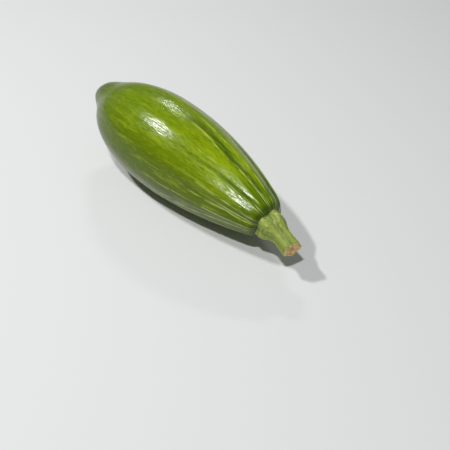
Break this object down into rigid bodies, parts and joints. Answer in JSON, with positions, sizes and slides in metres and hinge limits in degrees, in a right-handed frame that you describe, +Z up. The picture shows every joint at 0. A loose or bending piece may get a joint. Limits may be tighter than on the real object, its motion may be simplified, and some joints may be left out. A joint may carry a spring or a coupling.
{
  "type": "korean zucchini",
  "caption": "Whole korean zucchini lying on its side: a club-shaped green squash with a blunt nub at the blossom end and a flared, ridged stem cut short.",
  "frame": {"origin": "centre of the bounding box's underside, on the surface that the fruit lies on", "axes": "+X from the blossom end to the stem, +Z up"},
  "size_m": [0.2034, 0.0662, 0.0659],
  "materials": {
    "skin": "waxy, mottled green",
    "stem": "dull, ridged and finely bristled"
  },
  "bodies": {
    "root": {"fruit": "skin", "stem": "stem"}
  },
  "joints": []
}
